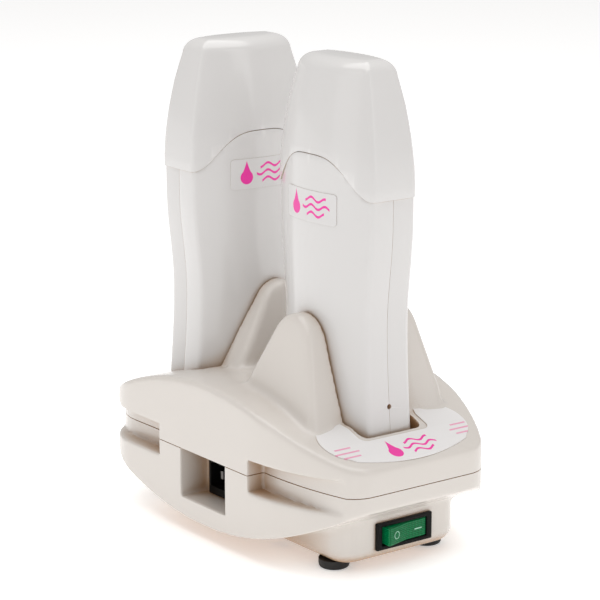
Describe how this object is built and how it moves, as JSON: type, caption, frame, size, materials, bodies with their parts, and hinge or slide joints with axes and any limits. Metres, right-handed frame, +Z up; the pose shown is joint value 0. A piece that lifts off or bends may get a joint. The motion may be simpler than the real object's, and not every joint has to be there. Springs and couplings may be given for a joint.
{
  "type": "roll-on wax warmer",
  "caption": "Two-station roll-on wax warmer: a moulded dock with cradle fins, rocker switch and mains inlet, holding two lift-out cartridge heaters with lift-off caps.",
  "frame": {"origin": "centre of the dock's footprint, on the surface the feet stand on", "axes": "+Z up, -Y towards the switch end, -X towards the mains inlet side"},
  "size_m": [0.114, 0.194, 0.2356],
  "materials": {
    "dock_ivory": "glossy injection-moulded ivory plastic with soft sink and flow variation",
    "heater_pearl": "glossy injection-moulded white plastic",
    "label_film": null,
    "foot_rubber": "black moulded rubber",
    "screw_steel": "zinc-plated steel",
    "black_plastic": "black nylon, fine spark texture",
    "brass_contact": "nickel-free brass",
    "rocker_green": "translucent green plastic with a prism pattern inside",
    "lamp_glass": "small glass lamp",
    "terminal_ceramic": "unglazed steatite ceramic",
    "wire_brown": "silicone insulation",
    "wire_blue": "silicone insulation",
    "wire_red": "silicone insulation",
    "heater_alloy": "extruded aluminium, satin",
    "heater_ptc": "dark ceramic heating plate",
    "refill_plastic": "moulded polypropylene",
    "roller_plastic": "smooth moulded roller",
    "wax_amber": "set depilatory wax, honey coloured"
  },
  "bodies": {
    "base": {"base_top_shell": "dock_ivory", "base_bottom_shell": "dock_ivory", "front_label": "label_film", "rubber_feet": "foot_rubber", "base_screws": "screw_steel", "inlet_body": "black_plastic", "inlet_pins": "brass_contact", "switch_housing": "black_plastic", "switch_lamp": "lamp_glass", "switch_terminals": "brass_contact", "terminal_block": "terminal_ceramic", "wire_live": "wire_brown", "wire_neutral": "wire_blue", "wire_front_pair": "wire_red", "wire_rear_pair": "wire_red", "front_contact_block": "black_plastic", "front_spring_a": "screw_steel", "front_spring_b": "screw_steel", "rear_contact_block": "black_plastic", "rear_spring_a": "screw_steel", "rear_spring_b": "screw_steel"},
    "rocker": {"switch_rocker": "rocker_green"},
    "front_heater": {"front_shell_left": "heater_pearl", "front_shell_right": "heater_pearl", "front_shell_screws": "screw_steel", "front_sticker": "label_film", "front_contact_pads": "brass_contact", "front_thermostat": "terminal_ceramic", "front_heater_sleeve": "heater_alloy", "front_heater_plates": "heater_ptc", "front_heater_leads": "wire_red", "front_indicator_lamp": "lamp_glass"},
    "front_refill": {"front_cartridge": "refill_plastic", "front_wax_fill": "wax_amber", "front_roller_head": "refill_plastic"},
    "front_roller": {"front_roller": "roller_plastic"},
    "front_cap": {"front_cap": "heater_pearl"},
    "front_pin_a": {"front_pin_a": "brass_contact"},
    "front_pin_b": {"front_pin_b": "brass_contact"},
    "rear_heater": {"rear_shell_left": "heater_pearl", "rear_shell_right": "heater_pearl", "rear_shell_screws": "screw_steel", "rear_sticker": "label_film", "rear_contact_pads": "brass_contact", "rear_thermostat": "terminal_ceramic", "rear_heater_sleeve": "heater_alloy", "rear_heater_plates": "heater_ptc", "rear_heater_leads": "wire_red", "rear_indicator_lamp": "lamp_glass"},
    "rear_refill": {"rear_cartridge": "refill_plastic", "rear_wax_fill": "wax_amber", "rear_roller_head": "refill_plastic"},
    "rear_roller": {"rear_roller": "roller_plastic"},
    "rear_cap": {"rear_cap": "heater_pearl"},
    "rear_pin_a": {"rear_pin_a": "brass_contact"},
    "rear_pin_b": {"rear_pin_b": "brass_contact"}
  },
  "joints": [
    {"name": "rocker_tilt", "type": "hinge", "parent": "base", "child": "rocker", "pos_m": [0, -0.0797, 0.0161], "axis": [0, 0, 1], "range_deg": [-16, 0]},
    {"name": "front_heater_lift", "type": "slide", "parent": "base", "child": "front_heater", "axis": [0, 0, 1], "range_m": [0, 0.11]},
    {"name": "front_refill_lift", "type": "slide", "parent": "front_heater", "child": "front_refill", "axis": [0, 0, 1], "range_m": [0, 0.15]},
    {"name": "front_cap_lift", "type": "slide", "parent": "front_refill", "child": "front_cap", "axis": [0, 0, 1], "range_m": [0, 0.07]},
    {"name": "front_roller_spin", "type": "hinge", "parent": "front_refill", "child": "front_roller", "pos_m": [0, -0.0386, 0.208], "axis": [0, 1, 0], "continuous": true},
    {"name": "front_pin_a_press", "type": "slide", "parent": "base", "child": "front_pin_a", "axis": [0, 0, 1], "range_m": [-0.0015, 0], "stiffness_N_per_m": 150, "springref_m": 0.002, "deforming": ["front_spring_a"]},
    {"name": "front_pin_b_press", "type": "slide", "parent": "base", "child": "front_pin_b", "axis": [0, 0, 1], "range_m": [-0.0015, 0], "stiffness_N_per_m": 150, "springref_m": 0.002, "deforming": ["front_spring_b"]},
    {"name": "rear_heater_lift", "type": "slide", "parent": "base", "child": "rear_heater", "axis": [0, 0, 1], "range_m": [0, 0.11]},
    {"name": "rear_refill_lift", "type": "slide", "parent": "rear_heater", "child": "rear_refill", "axis": [0, 0, 1], "range_m": [0, 0.15]},
    {"name": "rear_cap_lift", "type": "slide", "parent": "rear_refill", "child": "rear_cap", "axis": [0, 0, 1], "range_m": [0, 0.07]},
    {"name": "rear_roller_spin", "type": "hinge", "parent": "rear_refill", "child": "rear_roller", "pos_m": [0, 0.0494, 0.208], "axis": [1, 0, 0], "continuous": true},
    {"name": "rear_pin_a_press", "type": "slide", "parent": "base", "child": "rear_pin_a", "axis": [0, 0, 1], "range_m": [-0.0015, 0], "stiffness_N_per_m": 150, "springref_m": 0.002, "deforming": ["rear_spring_a"]},
    {"name": "rear_pin_b_press", "type": "slide", "parent": "base", "child": "rear_pin_b", "axis": [0, 0, 1], "range_m": [-0.0015, 0], "stiffness_N_per_m": 150, "springref_m": 0.002, "deforming": ["rear_spring_b"]}
  ]
}
